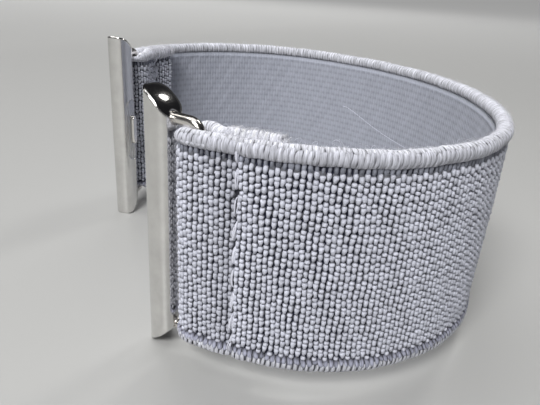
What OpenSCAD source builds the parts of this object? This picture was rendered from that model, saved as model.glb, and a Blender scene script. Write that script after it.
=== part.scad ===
// Elastic loop watch band with two spring-lock lug adapters.
// A woven elastic strap folds round the bar of a wire bail at each end and is sewn down.
// Each bail is seated in a polished rail that slides sideways into a slot of a 44 mm case.
// Millimetres. +Z is the width of the band, -X the side of the watch, +X the wrist's far side.
// End a is the end at -Y, end b the end at +Y.

/* [Strap] */
// Width of the band, over both edge cords
band_width = 24; // [18:0.5:30]
// Thickness of one ply of the woven web
web_thickness = 1.5; // [1.1:0.1:1.9]
// Diameter of the rolled cord along each edge
edge_cord_d = 1.8; // [1.4:0.1:2.2]
// How far the edge cords stand out towards the front face, from the middle of the web
edge_cord_lift = 0.15; // [0.15:0.05:0.3]

/* [Loop as it lies] */
// Distance between the two bail bars, as far apart as the case holds them
bar_span = 44.6; // [36:0.2:54]
// Angle at which each end of the strap leaves its bail, from the line along the wrist
end_angle = 45; // [38:1:52]
// Radius of the gentle bend after each folded end
flank_radius = 44.3; // [38:0.1:60]
// Turn of the gentle bend
flank_turn = 11; // [9:0.5:14]
// Radius of the two rounded sides of the loop
side_radius = 21.4; // [19:0.1:24]
// Turn of each rounded side
side_turn = 80.4; // [72:0.2:86]

/* [Folded and sewn ends] */
// Length of the turned-in flap, from the bar to its cut end
flap_length = 8.5; // [7:0.5:14]
// Distance of the seam from the bar
seam_distance = 4.7; // [4.2:0.1:5.5]
// Gap between the two plies beyond the fold
ply_gap = 0.1; // [0.06:0.01:0.14]
// Radius at which the flap bends back to the outer ply
fold_blend_radius = 4; // [3:0.25:5]
// How much lower the edge cords are where they round the bar, pressed flat under the bail's arms
fold_cord_drop = 0.7; // [0.5:0.05:0.8]
// Length of each ply past the bar over which the cords stay flat
flat_lead = 1; // [0.9:0.1:1.3]
// Length over which the cords then rise to their full height
flat_rise = 1.6; // [1.2:0.1:2]
// Distance from one stitch of the seam to the next
stitch_pitch = 2.6; // [2.5:0.1:3.2]
// Length of one stitch on the surface
stitch_length = 2.2; // [1.6:0.1:2.4]
// Diameter of the sewing thread
thread_d = 0.5; // [0.3:0.05:0.6]
// Depth of the groove that the seam draws into each face
seam_groove_depth = 0.3; // [0.2:0.05:0.4]
// Radius of the seam groove's bottom
seam_groove_radius = 0.5; // [0.4:0.05:0.6]
// Clearance of the thread above the groove's bottom
thread_clearance = 0.02; // [0.01:0.01:0.04]

/* [Wire bail] */
// Diameter of the bail's wire
wire_d = 1.2; // [1.1:0.05:1.3]
// Radius of the bend at each corner of the bail, to the middle of the wire
bail_bend_radius = 1.4; // [1:0.05:1.45]
// Running clearance of the bar in the sewn fold
bar_clearance = 0.15; // [0.12:0.01:0.2]
// Gap between each arm of the bail and the edge cord that it passes
arm_gap = 0.05; // [0.05:0.05:0.3]
// Depth of each arm's end behind the front edge of the rail
arm_seat_depth = 2.9; // [2.2:0.1:3.1]
// Clearance of the arms in their sockets
socket_clearance = 0.02; // [0.01:0.01:0.04]

/* [Lug rail] */
// How much longer the rail's front edge is than the width of the band
rail_front_extra = 0.1; // [0:0.1:0.6]
// How much further each end of the rail reaches at the back edge than at the front edge
rail_end_rise = 2.7; // [2.2:0.1:3.5]
// Radius of the bowed ends of the rail
rail_end_radius = 8; // [7:0.5:14]
// Depth of the rail, from the front edge to the back edge
rail_depth = 3.4; // [3.4:0.1:4.6]
// Thickness of the rail
rail_thickness = 3.1; // [2.8:0.05:3.5]
// Radius of the rail's four long edges
rail_edge_radius = 1.1; // [0.5:0.05:1.3]
// Gap between the front edge of the rail and the folded strap
rail_gap = 0.6; // [0.2:0.05:1]
// Offset of the middle of the rail from the arms, towards the wrist
rail_offset = -0.05; // [-0.2:0.05:0.3]
// Angle of the rail to the strap's end, outwards, as it lies
rest_swing = -10; // [-20:1:20]

/* [Spring lock] */
// Length and width of the cover plate
plate_size = [10, 2.2]; // [1.5:0.1:12]
// Thickness of the cover plate
plate_thickness = 0.3; // [0.2:0.05:0.4]
// Clearance round the cover plate
plate_clearance = 0.02; // [0.01:0.01:0.05]
// Length and width of the pocket behind the plate
pocket_size = [8.4, 1.8]; // [1.3:0.1:9]
// Depth of the pocket, from the rail's face
pocket_depth = 2.2; // [2:0.05:2.4]
// Length and width of the catch where it stands out
catch_size = [4.6, 1]; // [0.6:0.1:6]
// Clearance of the catch in the window of the plate
catch_clearance = 0.05; // [0.03:0.01:0.1]
// How far the catch stands out of the plate
catch_height = 0.5; // [0.4:0.05:0.6]
// Length and width of the catch's flange
flange_size = [6.4, 1.6]; // [1:0.1:8]
// Thickness of the catch's flange
flange_thickness = 0.35; // [0.3:0.05:0.45]
// Clearance between flange and plate
flange_clearance = 0.02; // [0.01:0.01:0.05]
// Distance of each spring from the middle of the rail
spring_spacing = 2.1; // [1.5:0.1:2.4]
// Mean diameter of a spring
spring_d = 1; // [0.8:0.05:1.1]
// Diameter of the spring wire
spring_wire_d = 0.16; // [0.12:0.02:0.2]
// Turns of a spring
spring_turns = 4; // [3:1:5]
// Diameter of the spigots that hold the springs
spigot_d = 0.7; // [0.4:0.05:0.8]
// Height of the spigots
spigot_height = 0.3; // [0.2:0.05:0.35]
// Clearance at the two ends of a spring
spring_clearance = 0.02; // [0.01:0.01:0.04]

/* [Hidden] */
$fn = 64;

fabric_colour = [0.73, 0.74, 0.81];
cord_colour = [0.82, 0.83, 0.88];
thread_colour = [0.87, 0.87, 0.91];
chrome_colour = [0.78, 0.78, 0.8];
plate_colour = [0.62, 0.62, 0.64];

// Largest turn, in degrees, and largest distance from one station of the route to the next
route_step = 9;
route_chord = 1.6;

// Fold: the bar runs in a sleeve of the web, whose wall the bore then trims to a true round
wire_r = wire_d / 2;
edge_cord_r = edge_cord_d / 2;
bore_r = wire_r + bar_clearance;
bore_trim = 0.02;
fold_radius = bore_r - bore_trim + max(web_thickness / 2, edge_cord_r - edge_cord_lift);
bar = [fold_radius * sin(end_angle), -bar_span / 2];

// Loop: each bend is an arc about its own centre, given by the heading at which it ends
function right_of(heading) = [sin(heading), -cos(heading)];
flank_heading = flank_turn - end_angle;
side_heading = flank_heading + side_turn;
start = bar + fold_radius * right_of(-end_angle);
flank_centre = start - flank_radius * right_of(-end_angle);
side_centre = flank_centre + (flank_radius - side_radius) * right_of(flank_heading);
far_radius = side_radius - side_centre.y / cos(side_heading);
far_centre = side_centre + (side_radius - far_radius) * right_of(side_heading);

// Flap: it runs inside the outer ply, then bends away from it to wrap the bar
ply_distance = max(web_thickness, edge_cord_d - 2 * edge_cord_lift) + ply_gap;
flap_radius = flank_radius - ply_distance;
bar_distance = flank_radius - fold_radius;
blend_distance = flap_radius - fold_blend_radius;
blend_reach = fold_blend_radius + fold_radius;
// Angles are seen from the centre of the gentle bend
flap_start_turn = acos((bar_distance ^ 2 + blend_distance ^ 2 - blend_reach ^ 2)
    / (2 * bar_distance * blend_distance));
start_polar = -90 - end_angle;
blend_polar = start_polar + flap_start_turn;
blend_centre = flank_centre + blend_distance * [cos(blend_polar), sin(blend_polar)];
wrap_polar = atan2(blend_centre.y - bar.y, blend_centre.x - bar.x);
flank_length = flank_radius * flank_turn * PI / 180;
flap_on_flank = min(flap_length, flank_length);
flap_on_side = max(0, flap_length - flank_length);
flap_turn_on_flank = flap_on_flank / flank_radius * 180 / PI;
flap_turn_on_side = flap_on_side / side_radius * 180 / PI;
seam_polar = start_polar + seam_distance / flank_radius * 180 / PI;

// Route of the strap's middle line, from the cut end of one flap to the cut end of the other.
// Each arc has its centre, radius, first and last polar angle, and 1 where the front face
// looks away from the centre or -1 where it looks towards it.
flap_arcs = concat(
    flap_on_side > 0 ? [[side_centre, side_radius - ply_distance,
        flank_heading - 90 + flap_turn_on_side, flank_heading - 90, -1]] : [],
    [[flank_centre, flap_radius, start_polar + flap_turn_on_flank, blend_polar, -1],
        [blend_centre, fold_blend_radius, blend_polar, wrap_polar - 180, -1],
        [bar, fold_radius, wrap_polar, start_polar + 360, 1]]);
lead_polar = start_polar + flat_lead / flank_radius * 180 / PI;
half_arcs = concat(flap_arcs, [
    [flank_centre, flank_radius, start_polar, lead_polar, 1],
    [flank_centre, flank_radius, lead_polar, flank_heading - 90, 1],
    [side_centre, side_radius, flank_heading - 90, side_heading - 90, 1],
    [far_centre, far_radius, side_heading - 90, 0, 1]]);
function steps_of(arc) = ceil(abs(arc[3] - arc[2]) / min(route_step, route_chord / arc[1] * 180 / PI));
half_route = [for (arc = half_arcs, i = [0 : steps_of(arc) - 1])
    let (polar = arc[2] + (arc[3] - arc[2]) * i / steps_of(arc), away = [cos(polar), sin(polar)])
    [arc[0] + arc[1] * away, arc[4] * away]];
far_point = [[[far_centre.x + far_radius, 0], [1, 0]]];
function flipped(station) = [for (v = station) [v.x, -v.y]];
route = concat(half_route, far_point,
    [for (i = [len(half_route) - 1 : -1 : 0]) flipped(half_route[i])]);

// Widths: the web lies between the flats of the two cords
cord_flat = sqrt(edge_cord_r ^ 2 - min(web_thickness / 2, 0.95 * edge_cord_r) ^ 2);
web_low = edge_cord_r + cord_flat;
web_high = band_width - web_low;
middle_z = band_width / 2;
// Flattening of the cords, by the distance from the nearer bar
flat_share = fold_cord_drop / (edge_cord_r + cord_flat);
flat_reach = norm([fold_radius, flat_lead]);
full_reach = norm([fold_radius, flat_lead + flat_rise]);
function bar_distance_of(p) = norm([p.x - bar.x, abs(p.y) + bar.y]);
function flatness(p) = max(0, min(1, (full_reach - bar_distance_of(p)) / (full_reach - flat_reach)));

// Adapter: a frame with its origin on the bar, X towards the rail and Y towards the wrist
rail_heading = 180 - end_angle + rest_swing;
arm_z = band_width / 2 - fold_cord_drop + arm_gap + wire_r;
rail_reach = fold_radius + max(web_thickness / 2, edge_cord_lift + edge_cord_r) + rail_gap;
rail_middle = rail_reach + rail_depth / 2;
rail_front_length = band_width + rail_front_extra;
rail_length = rail_front_length + 2 * rail_end_rise;
rail_face = rail_offset + rail_thickness / 2;
plate_under = rail_face - plate_thickness;
flange_top = plate_under - flange_clearance;
flange_under = flange_top - flange_thickness;
pocket_floor = rail_face - pocket_depth;

// Rail ends: a bow through the ends of the front edge and of the back edge
end_chord = norm([rail_depth, rail_end_rise]);
end_sag = sqrt(rail_end_radius ^ 2 - end_chord ^ 2 / 4);
end_centre_x = rail_middle + end_sag * rail_end_rise / end_chord;
end_centre_z = (rail_length + rail_front_length) / 4 - end_sag * rail_depth / end_chord;

// Origin: the middle of the finished part's outer box, at its lowest point
rail_point = bar + [cos(rail_heading), sin(rail_heading)] * rail_middle
    + [sin(rail_heading), -cos(rail_heading)] * rail_offset;
rail_half_x = abs(cos(rail_heading)) * (rail_depth / 2 - rail_edge_radius)
    + abs(sin(rail_heading)) * (rail_thickness / 2 - rail_edge_radius) + rail_edge_radius;
part_min_x = rail_point.x - rail_half_x;
part_max_x = far_centre.x + far_radius + edge_cord_lift + edge_cord_r;
origin = [(part_min_x + part_max_x) / 2, 0, middle_z - rail_length / 2];

// Closed outline in plan, between two offsets from the route, front and back
module route_band(front, back) {
    polygon(concat(
        [for (station = route) station[0] + front * station[1]],
        [for (i = [len(route) - 1 : -1 : 0]) route[i][0] + back * route[i][1]]));
}

// Grooves of a seam, in the front face of each ply
module seam_grooves() {
    depth_in = seam_groove_radius - seam_groove_depth;
    translate(flank_centre)
        rotate(seam_polar)
            for (face = [flank_radius + web_thickness / 2 + depth_in,
                flap_radius - web_thickness / 2 - depth_in])
                translate([face, 0, 0])
                    cylinder(r = seam_groove_radius, h = band_width, $fn = 32);
}

module elastic_web() {
    color(fabric_colour)
        translate(-origin)
            difference() {
                translate([0, 0, web_low])
                    linear_extrude(web_high - web_low)
                        route_band(web_thickness / 2, -web_thickness / 2);
                for (side = [0, 1])
                    mirror([0, side, 0]) {
                        translate(bar)
                            cylinder(r = bore_r, h = band_width);
                        seam_grooves();
                    }
            }
}

// Outline of an edge cord, round with a flat where it sits on the web
function cord_outline() = let (flat_angle = asin(cord_flat / edge_cord_r), sides = 9)
    [for (i = [0 : sides])
        let (a = -flat_angle + (180 + 2 * flat_angle) * i / sides)
        edge_cord_r * [cos(a), sin(a)] + [edge_cord_lift, 0]];

// Sweeps a cord's outline of [front offset, height] points along the route as one closed skin
module route_sweep(outline) {
    n = len(outline);
    last = len(route) - 1;
    points = [for (station = route, p = outline)
        let (height = (p.y + cord_flat) * (1 - flat_share * flatness(station[0])))
        concat(station[0] + p.x * station[1], height - cord_flat)];
    skin = [for (i = [0 : last - 1], k = [0 : n - 1], half = [0, 1])
        let (a = i * n + k, b = i * n + (k + 1) % n)
        half == 0 ? [a, a + n, b] : [b, a + n, b + n]];
    polyhedron(points, concat(
        [[for (k = [0 : n - 1]) k]],
        skin,
        [[for (k = [n - 1 : -1 : 0]) last * n + k]]));
}

module upper_edge_cord() {
    color(cord_colour)
        translate([0, 0, band_width - edge_cord_r] - origin)
            route_sweep(cord_outline());
}

module lower_edge_cord() {
    color(cord_colour)
        translate([0, 0, edge_cord_r] - origin)
            mirror([0, 0, 1])
                route_sweep(cord_outline());
}

// One stitch: a short thread with round ends, upright in the groove
module stitch() {
    straight = stitch_length - thread_d;
    translate([0, 0, -straight / 2])
        cylinder(d = thread_d, h = straight, $fn = 24);
    for (z = [-straight / 2, straight / 2])
        translate([0, 0, z])
            sphere(d = thread_d, $fn = 24);
}

module seam_stitching(side) {
    groove_bottom = web_thickness / 2 - seam_groove_depth;
    thread_middle = groove_bottom + thread_clearance + thread_d / 2;
    seam_height = web_high - web_low - stitch_pitch;
    stitches = floor(seam_height / stitch_pitch) + 1;
    color(thread_colour)
        translate(-origin)
            mirror([0, side, 0])
                translate(flank_centre)
                    rotate(seam_polar)
                        for (face = [flank_radius + thread_middle, flap_radius - thread_middle],
                            i = [0 : stitches - 1])
                            translate([face, 0, middle_z + (i - (stitches - 1) / 2) * stitch_pitch])
                                stitch();
}

// Puts an adapter's piece on the bar of its end
module at_bail(side) {
    translate(-origin)
        mirror([0, side, 0])
            translate([bar.x, bar.y, middle_z])
                rotate(rail_heading)
                    mirror([0, 1, 0])
                        children();
}

// Half of the bail: half the bar, one bend and one arm
module bail_half() {
    bar_half = arm_z - bail_bend_radius;
    arm_end = rail_reach + arm_seat_depth;
    cylinder(r = wire_r, h = bar_half);
    translate([bail_bend_radius, 0, bar_half])
        rotate([90, 0, 0])
            rotate(90)
                rotate_extrude(angle = 90)
                    translate([bail_bend_radius, 0])
                        circle(r = wire_r);
    translate([bail_bend_radius, 0, arm_z])
        rotate([0, 90, 0])
            cylinder(r = wire_r, h = arm_end - bail_bend_radius);
}

module wire_bail(side) {
    color(chrome_colour)
        at_bail(side)
            for (end = [0, 1])
                mirror([0, 0, end])
                    bail_half();
}

// A rectangle with round corners, by its size
module round_rectangle(size, radius) {
    inner = size / 2 - [radius, radius];
    square([size.x, 2 * inner.y], center = true);
    square([2 * inner.x, size.y], center = true);
    for (x = [-inner.x, inner.x], y = [-inner.y, inner.y])
        translate([x, y])
            circle(r = radius);
}

// A slot shape with half-round ends, standing on the rail's face at a given height
module lock_slot(size, low, high, grow = 0) {
    width = size.y + 2 * grow;
    straight = size.x - size.y;
    translate([rail_middle, low, 0])
        rotate([-90, 0, 0])
            linear_extrude(high - low) {
                square([width, straight], center = true);
                for (z = [-straight / 2, straight / 2])
                    translate([0, z])
                        circle(d = width);
            }
}

module spring_places() {
    for (z = [-spring_spacing, spring_spacing])
        translate([rail_middle, 0, z])
            rotate([-90, 0, 0])
                children();
}

// The rail's outline seen along its thickness, with bowed ends
module rail_ends() {
    rotate([90, 0, 0])
        linear_extrude(2 * rail_thickness + 2 * rail_offset, center = true) {
            translate([end_centre_x - rail_end_radius, -end_centre_z])
                square([2 * rail_end_radius, 2 * end_centre_z]);
            for (z = [-end_centre_z, end_centre_z])
                translate([end_centre_x, z])
                    circle(r = rail_end_radius, $fn = 128);
        }
}

// The rail before its sockets and pocket are cut
module rail_blank() {
    intersection() {
        translate([rail_middle, rail_offset, -rail_length / 2])
            linear_extrude(rail_length)
                round_rectangle([rail_depth, rail_thickness], rail_edge_radius);
        rail_ends();
    }
}

module lug_rail(side) {
    color(chrome_colour)
        at_bail(side) {
            difference() {
                rail_blank();
                for (z = [-arm_z, arm_z])
                    translate([0, 0, z])
                        rotate([0, 90, 0])
                            cylinder(r = wire_r + socket_clearance,
                                h = rail_reach + arm_seat_depth + socket_clearance);
                lock_slot(pocket_size, pocket_floor, rail_face + 1);
                lock_slot(plate_size, plate_under, rail_face + 1, plate_clearance);
            }
            spring_places()
                translate([0, 0, pocket_floor])
                    cylinder(d = spigot_d, h = spigot_height, $fn = 32);
        }
}

// The plate follows the rounded face of the rail
module lock_plate(side) {
    color(plate_colour)
        at_bail(side)
            difference() {
                intersection() {
                    lock_slot(plate_size, plate_under, rail_face);
                    rail_blank();
                }
                lock_slot(catch_size, plate_under - 1, rail_face + 1, catch_clearance);
            }
}

module lock_catch(side) {
    color(chrome_colour)
        at_bail(side) {
            lock_slot(flange_size, flange_under, flange_top);
            lock_slot(catch_size, flange_top, rail_face + catch_height);
            spring_places()
                translate([0, 0, flange_under - spigot_height])
                    cylinder(d = spigot_d, h = spigot_height, $fn = 32);
        }
}

// One coil spring from z = 0 to its height, as a six-sided wire swept along a helix
module coil_spring(height) {
    sides = 6;
    steps = 12 * spring_turns;
    rise = height - spring_wire_d;
    function ring(i) = [for (k = [0 : sides - 1])
        let (turn = 360 * spring_turns * i / steps,
            r = spring_d / 2 + spring_wire_d / 2 * cos(360 * k / sides))
        [r * cos(turn), r * sin(turn),
            spring_wire_d / 2 * (1 + sin(360 * k / sides)) + rise * i / steps]];
    points = [for (i = [0 : steps]) each ring(i)];
    faces = concat(
        [[for (k = [0 : sides - 1]) k]],
        [[for (k = [0 : sides - 1]) steps * sides + sides - 1 - k]],
        [for (i = [0 : steps - 1], k = [0 : sides - 1], half = [0, 1])
            let (a = i * sides + k, b = i * sides + (k + 1) % sides)
            half == 0 ? [a, a + sides, b] : [b, a + sides, b + sides]]);
    polyhedron(points, faces);
}

module lock_springs(side) {
    color(plate_colour)
        at_bail(side)
            spring_places()
                translate([0, 0, pocket_floor + spring_clearance])
                    coil_spring(flange_under - pocket_floor - 2 * spring_clearance);
}

elastic_web();
upper_edge_cord();
lower_edge_cord();
seam_stitching(0);  // seam_stitching_a
wire_bail(0);  // wire_bail_a
lug_rail(0);  // lug_rail_a
lock_plate(0);  // lock_plate_a
lock_catch(0);  // lock_catch_a
lock_springs(0);  // lock_springs_a
seam_stitching(1);  // seam_stitching_b
wire_bail(1);  // wire_bail_b
lug_rail(1);  // lug_rail_b
lock_plate(1);  // lock_plate_b
lock_catch(1);  // lock_catch_b
lock_springs(1);  // lock_springs_b
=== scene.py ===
"""Looks of an elastic woven watch band with two lug adapters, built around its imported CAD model."""

import math

import bpy
import numpy as np
from mathutils import Matrix, Vector


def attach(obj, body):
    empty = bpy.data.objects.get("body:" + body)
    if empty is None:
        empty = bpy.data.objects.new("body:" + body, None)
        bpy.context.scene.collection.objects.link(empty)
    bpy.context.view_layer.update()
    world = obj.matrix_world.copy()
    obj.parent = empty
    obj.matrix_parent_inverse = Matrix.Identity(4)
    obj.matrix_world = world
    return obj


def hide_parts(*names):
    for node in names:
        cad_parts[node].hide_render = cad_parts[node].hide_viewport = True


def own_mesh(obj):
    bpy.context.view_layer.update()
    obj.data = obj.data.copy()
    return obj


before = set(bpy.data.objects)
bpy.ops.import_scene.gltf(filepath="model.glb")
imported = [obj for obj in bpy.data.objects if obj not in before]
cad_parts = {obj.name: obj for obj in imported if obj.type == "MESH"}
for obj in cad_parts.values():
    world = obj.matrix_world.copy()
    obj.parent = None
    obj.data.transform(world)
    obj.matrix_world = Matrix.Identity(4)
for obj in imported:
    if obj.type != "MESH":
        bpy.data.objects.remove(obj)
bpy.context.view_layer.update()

MM = 0.001
RNG = np.random.RandomState(7)
scene = bpy.context.scene

# Sizes of the strap in millimetres and degrees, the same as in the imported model
BAND_WIDTH = 24.0
WEB_HALF = 0.75
CORD_R = 0.9
CORD_LIFT = 0.15
BAR_SPAN = 44.6
END_ANGLE = 45.0
FLANK_R, FLANK_TURN = 44.3, 11.0
SIDE_R, SIDE_TURN = 21.4, 80.4
FLAP_LENGTH = 8.5
SEAM_DISTANCE = 4.7
PLY_DISTANCE = 1.6
BLEND_R = 4.0
FOLD_R = 1.48
ORIGIN = np.array([20.89704001, 0.0, -2.75])
# Where the bail's arms pass, the cords are pressed flat: how far under its middle a cord keeps its level,
# share of the height lost over that, and the lengths beyond the bar that stay flat in the swing, then rise
CORD_FLAT = 0.4975
FLAT_SHARE = 0.5009
FLAT_LEAD, FLAT_RISE = 1.0, 1.6
# At rest, only what lies under the arm is flat: its angle, the distances beside it at which the cord is fully
# flat and not flat, and the length behind the bar over which the flat fades
ARM_ANGLE = 35.0
FLAT_FULL, FLAT_NONE = 0.70, 1.42
FLAT_FADE = 1.2

# The weave: columns across the band, and the repeat down a column, half a repeat further in the next column
COLUMN_PITCH = 0.5625
REPEAT = 2.0
# Height of the one needle hole that shows
HOLE_Z = 18.7


def sin_of(a):
    return math.sin(math.radians(a))


def cos_of(a):
    return math.cos(math.radians(a))


def right_of(heading):
    return np.array([sin_of(heading), -cos_of(heading)])


def smooth(share):
    share = np.clip(share, 0, 1)
    return share ** 2 * (3 - 2 * share)


# Route of the strap's middle line, from one cut end to the other
STATION_STEP = 0.02
bar = np.array([FOLD_R * sin_of(END_ANGLE), -BAR_SPAN / 2])
flank_heading = FLANK_TURN - END_ANGLE
side_heading = flank_heading + SIDE_TURN
route_start = bar + FOLD_R * right_of(-END_ANGLE)
flank_centre = route_start - FLANK_R * right_of(-END_ANGLE)
side_centre = flank_centre + (FLANK_R - SIDE_R) * right_of(flank_heading)
far_r = SIDE_R - side_centre[1] / cos_of(side_heading)
far_centre = side_centre + (SIDE_R - far_r) * right_of(side_heading)
flap_r = FLANK_R - PLY_DISTANCE
bar_distance, blend_distance = FLANK_R - FOLD_R, flap_r - BLEND_R
flap_cosine = bar_distance ** 2 + blend_distance ** 2 - (BLEND_R + FOLD_R) ** 2
flap_start = math.degrees(math.acos(flap_cosine / (2 * bar_distance * blend_distance)))
start_polar = -90 - END_ANGLE
blend_polar = start_polar + flap_start
blend_centre = flank_centre + blend_distance * np.array([cos_of(blend_polar), sin_of(blend_polar)])
wrap_polar = math.degrees(math.atan2(blend_centre[1] - bar[1], blend_centre[0] - bar[0]))
flap_turn = math.degrees(FLAP_LENGTH / FLANK_R)
# Each arc: centre, radius, first and last polar angle, 1 where the front face looks away from the centre
arcs = [
    (flank_centre, flap_r, start_polar + flap_turn, blend_polar, -1),
    (blend_centre, BLEND_R, blend_polar, wrap_polar - 180, -1),
    (bar, FOLD_R, wrap_polar, start_polar + 360, 1),
    (flank_centre, FLANK_R, start_polar, flank_heading - 90, 1),
    (side_centre, SIDE_R, flank_heading - 90, side_heading - 90, 1),
    (far_centre, far_r, side_heading - 90, 0, 1),
]


def arc_stations(centre, radius, first, last, face):
    """Points, front normals and bends along an arc, without its last point."""
    count = max(2, math.ceil(abs(math.radians(last - first)) * radius / STATION_STEP))
    polar = np.radians(np.linspace(first, last, count + 1)[:-1])
    away = np.column_stack([np.cos(polar), np.sin(polar)])
    return centre + radius * away, face * away, np.full(count, face / radius)


stations = [arc_stations(*arc) for arc in arcs]
half_p, half_n, half_k = [np.concatenate(values) for values in zip(*stations)]
flip = np.array([1, -1])
route_p = np.vstack([half_p, [[far_centre[0] + far_r, 0]], half_p[::-1] * flip])
route_n = np.vstack([half_n, [[1.0, 0.0]], half_n[::-1] * flip])
route_k = np.concatenate([half_k, half_k[-1:], half_k[::-1]])
route_s = np.concatenate([[0], np.cumsum(np.linalg.norm(np.diff(route_p, axis=0), axis=1))])
LENGTH = route_s[-1]
arc_ends = np.cumsum([abs(math.radians(last - first)) * radius for _, radius, first, last, _ in arcs])
BAR_START, BAR_END = arc_ends[1], arc_ends[2]
# Distances along the route of the seams, on the flap and on the outer ply, for both ends
seam_on_flap = (FLAP_LENGTH - SEAM_DISTANCE) * flap_r / FLANK_R
seam_on_outer = BAR_END + SEAM_DISTANCE
SEAMS = [seam_on_flap, seam_on_outer, LENGTH - seam_on_outer, LENGTH - seam_on_flap]
# How flat the edge cords are along the route, in the arm's swing and as it rests
off_x, off_y = route_p[:, 0] - bar[0], np.abs(route_p[:, 1]) - BAR_SPAN / 2
from_bar = np.hypot(off_x, off_y)
flat_reach, full_reach = np.hypot(FOLD_R, FLAT_LEAD), np.hypot(FOLD_R, FLAT_LEAD + FLAT_RISE)
flat_in_swing = smooth((full_reach - from_bar) / (full_reach - flat_reach))
beyond_bar = -sin_of(ARM_ANGLE) * off_x - cos_of(ARM_ANGLE) * off_y
beside_arm = np.abs(cos_of(ARM_ANGLE) * off_x - sin_of(ARM_ANGLE) * off_y)
under_arm = smooth((FLAT_NONE - beside_arm) / (FLAT_NONE - FLAT_FULL))
flat_at_rest = under_arm * smooth((beyond_bar + FLAT_FADE) / FLAT_FADE)

# Depth of the groove that a seam draws in, and the lengths over which it rises again: slowly towards the bar,
# steeply on the other side
SEAM_DEPTH = 0.36
SEAM_SLOW, SEAM_STEEP = 1.1, 0.4


def seam_dip(s):
    """How far the sewn seams draw the front face in."""
    dip = np.zeros_like(s)
    for number, at in enumerate(SEAMS):
        # On the flaps the groove is narrow on both sides
        towards_bar = {1: at - s, 2: s - at}.get(number, np.abs(s - at) * 2)
        slow = np.exp(-np.clip(towards_bar, 0, None) / SEAM_SLOW)
        steep = np.exp(-np.clip(-towards_bar, 0, None) / SEAM_STEEP)
        dip += SEAM_DEPTH * slow * steep
    return dip


def seam_shade_and_light(s):
    """Painted shade and light beside a seam of the outer ply: darker on the side towards the bar, where the
    cloth dips into the groove, brighter on the other, where it bulges.
    """
    tone = np.ones_like(s)
    for at, way in ((SEAMS[1], 1), (SEAMS[2], -1)):
        beyond = (s - at) * way
        # Painted shade where the cloth dips, painted light where it bulges
        dipped_shade, bulge_light = 1 - 0.27 * np.exp(beyond / 1.9), 1 + 0.07 * np.exp(-beyond / 1.5)
        tone = tone * np.where(beyond < 0, dipped_shade, bulge_light)
    return tone


def sway(s, z):
    """The strap's slight waviness, in and out, as two irregular waves."""
    return 0.05 * np.sin(s * 0.31 + 0.6) * np.cos(z * 0.17 + 0.4) + 0.03 * np.sin(s * 0.83 + z * 0.21)


def blotch(s, z, seed=0.0):
    """Slow irregular unevenness of the cloth's tone, from -1 to 1."""
    return (np.sin(s * 0.9 + 1.3 * np.sin(z * 0.45 + seed)) * np.cos(z * 0.7 + seed) * 0.5
            + np.sin(s * 2.7 + z * 1.9 + seed) * 0.3 + np.sin(z * 3.1 - s * 1.1 + seed) * 0.2)


def place(s, u, z):
    """Points of the frame, in metres, from distance along the route, offset to the front, and height."""
    s, u, z = np.broadcast_arrays(s, u, z)
    px, py, nx, ny = [np.interp(s, route_s, values) for values in (*route_p.T, *route_n.T)]
    out = (u + sway(s, z)) / np.hypot(nx, ny)
    return (np.stack([px + out * nx, py + out * ny, z], -1) - ORIGIN) * MM


def stretch(s):
    """Length on the front face for each unit of the route."""
    return 1 + np.interp(s, route_s, route_k) * WEB_HALF


def bell(distance, width):
    return np.exp(-(distance / width) ** 2)


# Distances along the front face at the route's stations, which the columns and the wraps divide evenly
front_steps = np.diff(route_s) * (1 + 0.5 * (route_k[1:] + route_k[:-1]) * WEB_HALF)
front_length = np.concatenate([[0], np.cumsum(front_steps)])
FRONT = front_length[-1]
columns = round(FRONT / COLUMN_PITCH)
COLUMN_WIDTH = FRONT / columns


def on_route(distance):
    """Distance along the route for a distance along the front face."""
    return np.interp(distance, front_length, route_s)


# Meshes from arrays

def new_object(name, data):
    made = bpy.data.objects.new(name, data)
    scene.collection.objects.link(made)
    return made


def mesh_object(name, points, faces, material, colour=None, grain=None, rounded=True):
    """A mesh object. faces is an array or a list of index lists, and each point has a linear colour and a
    grain vector."""
    mesh = bpy.data.meshes.new(name)
    points = np.asarray(points, np.float32).reshape(-1, 3)
    sizes = np.array([len(face) for face in faces], np.int32)
    corners = (np.concatenate(faces) if isinstance(faces, list) else faces.ravel()).astype(np.int32)
    mesh.vertices.add(len(points))
    mesh.vertices.foreach_set("co", points.ravel())
    mesh.loops.add(len(corners))
    mesh.loops.foreach_set("vertex_index", corners)
    mesh.polygons.add(len(sizes))
    mesh.polygons.foreach_set("loop_start", (np.cumsum(sizes) - sizes).astype(np.int32))
    mesh.update(calc_edges=True)
    mesh.validate()
    mesh.polygons.foreach_set("use_smooth", np.full(len(mesh.polygons), rounded))
    if colour is not None:
        data = np.ones((len(points), 4), np.float32)
        data[:, :3] = colour
        mesh.attributes.new("yarn", "FLOAT_COLOR", "POINT").data.foreach_set("color", data.ravel())
        data = np.asarray(grain, np.float32).ravel()
        mesh.attributes.new("grain", "FLOAT_VECTOR", "POINT").data.foreach_set("vector", data)
    mesh.materials.append(material)
    return new_object(name, mesh)


def dress(piece, body, slot, *nodes):
    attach(piece, body)
    if nodes:
        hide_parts(*nodes)
    return piece


def strap_piece(name, slot, material, parts, *nodes):
    """One mesh on the strap from several (points, triangles, colours, grains)."""
    points, triangles, colours, grains = [[np.reshape(v, (-1, 3)) for v in values] for values in zip(*parts)]
    offsets = np.cumsum([0] + [len(p) for p in points])
    triangles = np.vstack([t + offset for t, offset in zip(triangles, offsets)])
    made = mesh_object(name, np.vstack(points), triangles, material, np.vstack(colours), np.vstack(grains))
    return dress(made, "strap", slot, *nodes)


def copies(triangles, size, count):
    """The triangles of one copy with size points, repeated for count copies."""
    return triangles + (np.arange(count) * size)[:, None, None]


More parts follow.
